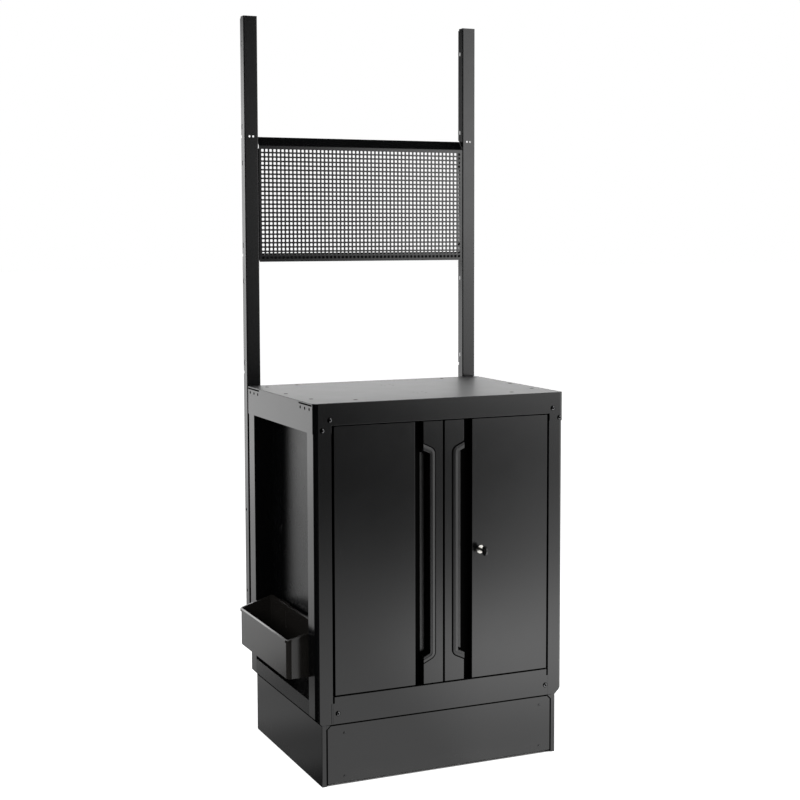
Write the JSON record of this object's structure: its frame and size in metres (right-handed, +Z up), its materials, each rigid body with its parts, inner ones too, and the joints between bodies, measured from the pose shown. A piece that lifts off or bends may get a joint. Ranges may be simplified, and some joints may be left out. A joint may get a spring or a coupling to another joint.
{
  "type": "base cabinet",
  "caption": "Workshop base cabinet on an inset plinth: hinged doors with finger grips and a rod lock, side recess with lift-off bin, perforated panel between rear uprights.",
  "frame": {"origin": "centre of the cabinet's footprint on the floor", "axes": "+X to the right as one faces the doors, -Y out of the doors, +Z up"},
  "size_m": [0.773, 0.599, 2.019],
  "materials": {
    "paint": "near-black semi-gloss powder coat with a fine texture",
    "top_paint": "near-black powder coat, a little duller than the rest",
    "bin_paint": "near-black semi-gloss powder coat",
    "black_plastic": "black moulded plastic",
    "zinc": "zinc plated",
    "chrome": "bright nickel plated",
    "nickel": "nickel plated key blank"
  },
  "bodies": {
    "cabinet": {"back_panel": "paint", "bin_hanger": "bin_paint", "bottom_rail": "paint", "cap_frame": "paint", "door_catch_left": "black_plastic", "door_catch_right": "black_plastic", "floor_pan": "paint", "hinge_pin_left_lower": "zinc", "hinge_pin_left_upper": "zinc", "hinge_pin_right_lower": "zinc", "hinge_pin_right_upper": "zinc", "panel_screw_left_lower": "zinc", "panel_screw_left_upper": "zinc", "panel_screw_right_lower": "zinc", "panel_screw_right_upper": "zinc", "perforated_panel": "paint", "plinth_back": "paint", "plinth_beam": "paint", "plinth_cover": "paint", "plinth_side_left": "paint", "plinth_side_right": "paint", "plinth_tie": "paint", "post_front_left": "paint", "post_front_right": "paint", "post_rear_left": "paint", "post_rear_right": "paint", "recess_head": "paint", "recess_sill": "paint", "recess_wall": "paint", "shelf": "paint", "shelf_clip_left_front": "zinc", "shelf_clip_left_rear": "zinc", "shelf_clip_right_front": "zinc", "shelf_clip_right_rear": "zinc", "side_panel_right": "paint", "upright_bolt_left_lower": "zinc", "upright_bolt_left_upper": "zinc", "upright_bolt_right_lower": "zinc", "upright_bolt_right_upper": "zinc", "upright_left": "paint", "upright_right": "paint", "wall_plug": "black_plastic", "worktop": "top_paint"},
    "door_left": {"door_skin_left": "paint", "door_liner_left": "paint", "door_grip_left": "black_plastic"},
    "door_right": {"door_skin_right": "paint", "door_liner_right": "paint", "door_grip_right": "black_plastic", "lock_barrel": "chrome", "lock_nut": "zinc", "rod_guide_upper": "black_plastic", "rod_guide_lower": "black_plastic"},
    "lock": {"lock_plug": "chrome", "lock_cam": "zinc"},
    "rod_upper": {"lock_rod_upper": "zinc"},
    "rod_lower": {"lock_rod_lower": "zinc"},
    "key": {"key_blade": "nickel", "key_bow": "black_plastic"},
    "bin": {"side_bin": "bin_paint"}
  },
  "joints": [
    {"name": "door_left_hinge", "type": "hinge", "parent": "cabinet", "child": "door_left", "pos_m": [-0.292, -0.2475, 0.58], "axis": [0, 0, -1], "range_deg": [0, 105]},
    {"name": "door_right_hinge", "type": "hinge", "parent": "cabinet", "child": "door_right", "pos_m": [0.3, -0.2475, 0.58], "axis": [0, 0, 1], "range_deg": [0, 105]},
    {"name": "lock_turn", "type": "hinge", "parent": "door_right", "child": "lock", "pos_m": [0.11, -0.25, 0.582], "axis": [0, -1, 0], "range_deg": [0, 90]},
    {"name": "rod_upper_slide", "type": "slide", "parent": "door_right", "child": "rod_upper", "axis": [0, 0, 1], "range_m": [0, 0.01]},
    {"name": "rod_lower_slide", "type": "slide", "parent": "door_right", "child": "rod_lower", "axis": [0, 0, -1], "range_m": [0, 0.01]},
    {"name": "key_pull", "type": "slide", "parent": "lock", "child": "key", "axis": [0, -1, 0], "range_m": [0, 0.03]},
    {"name": "bin_lift", "type": "slide", "parent": "cabinet", "child": "bin", "axis": [0, 0, 1], "range_m": [0, 0.15]}
  ],
  "couplings": [
    {"joint": "lock_turn", "follows": "rod_upper_slide", "rad_per_m": 157.07},
    {"joint": "rod_lower_slide", "follows": "rod_upper_slide", "ratio": 1}
  ]
}
